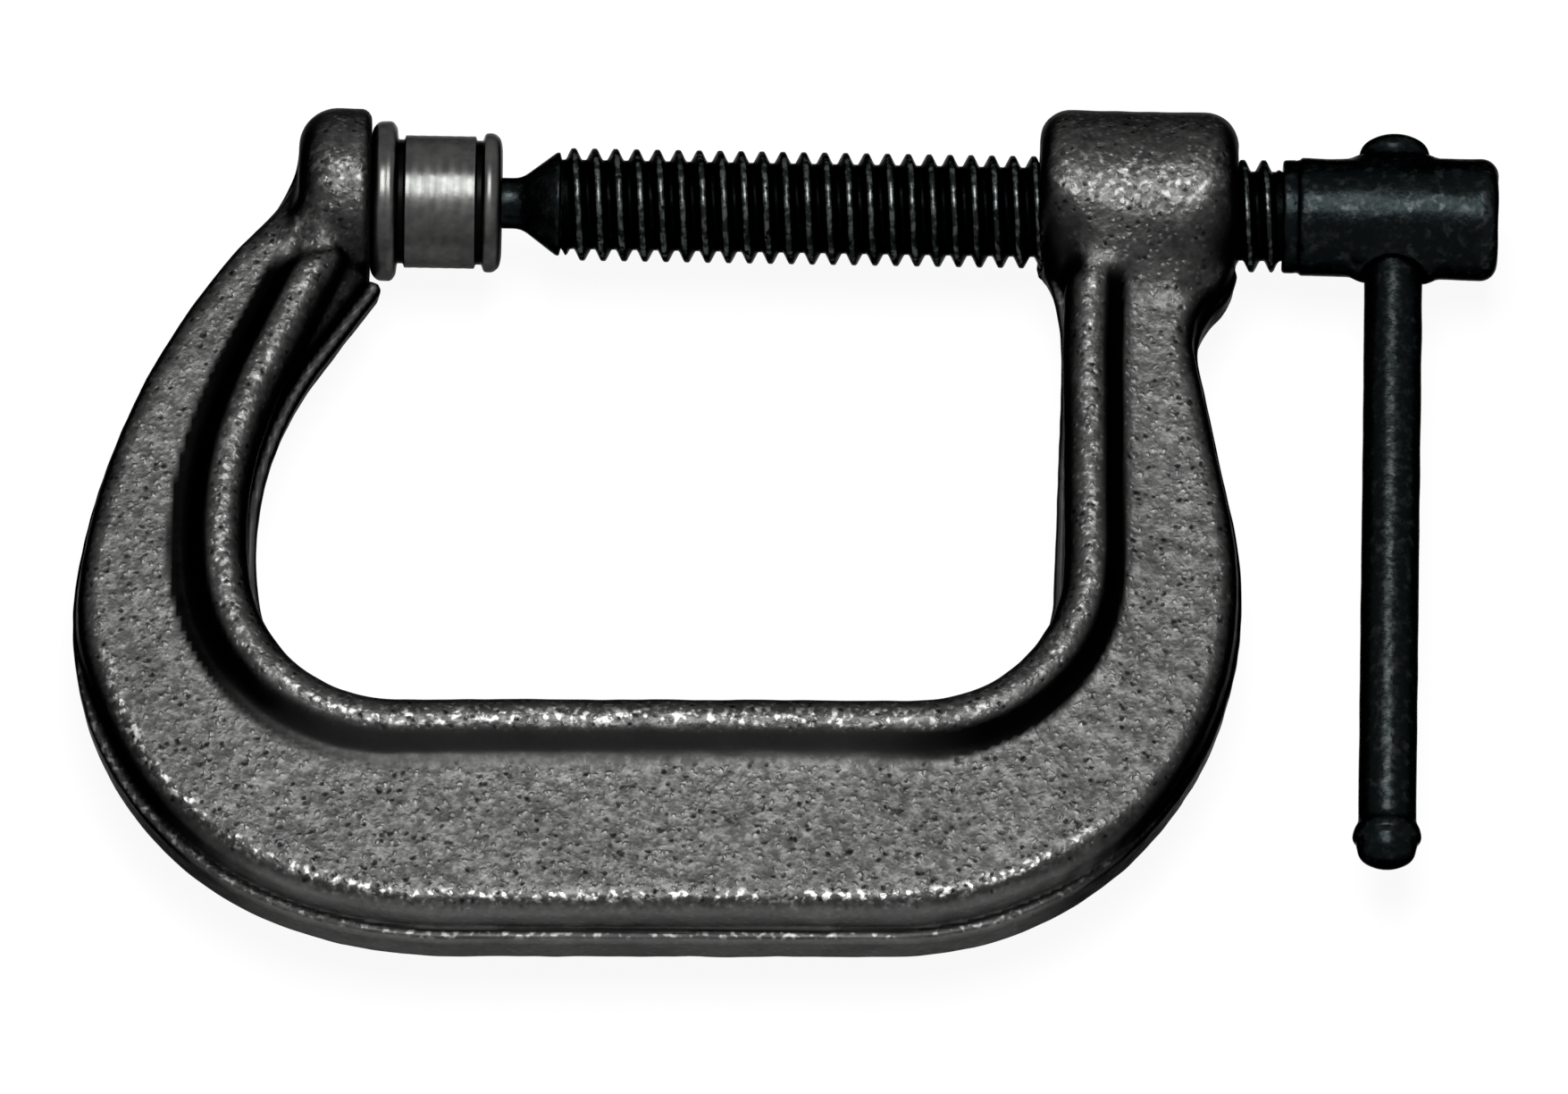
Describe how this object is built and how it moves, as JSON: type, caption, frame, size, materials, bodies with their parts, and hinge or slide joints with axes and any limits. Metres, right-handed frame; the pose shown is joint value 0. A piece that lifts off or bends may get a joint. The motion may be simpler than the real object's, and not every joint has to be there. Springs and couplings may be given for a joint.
{
  "type": "forged c clamp",
  "caption": "Drop-forged C clamp: ribbed C frame, threaded screw spindle with ball end, swivel pad and sliding tommy-bar handle.",
  "frame": {"origin": "centre of the anvil face, on the screw axis, in the parting plane of the forging", "axes": "+X along the screw from the anvil to the handle, +Y in the plane of the C away from the back bar, +Z normal to the plane of the C"},
  "size_m": [0.1599, 0.1037, 0.0234],
  "materials": {
    "forged_steel": "black forged scale, tumbled, satin",
    "black_oxide_steel": "black oxide, oiled",
    "turned_steel": "turned bright steel",
    "black_oxide_bar": "black oxide, oiled"
  },
  "bodies": {
    "frame": {"frame": "forged_steel"},
    "pad": {"swivel_pad": "turned_steel"},
    "screw": {"spindle": "black_oxide_steel"},
    "handle": {"handle": "black_oxide_bar"}
  },
  "joints": [
    {"name": "screw_travel", "type": "slide", "parent": "frame", "child": "pad", "axis": [1, 0, 0], "range_m": [0, 0.0531]},
    {"name": "screw_turn", "type": "hinge", "parent": "pad", "child": "screw", "pos_m": [0, 0, 0], "axis": [1, 0, 0], "range_deg": [0, 8100]},
    {"name": "handle_slide", "type": "slide", "parent": "screw", "child": "handle", "axis": [0, 1, 0], "range_m": [0, 0.068]}
  ],
  "couplings": [
    {"joint": "screw_travel", "follows": "screw_turn", "m_per_rad": 0.00037561}
  ]
}
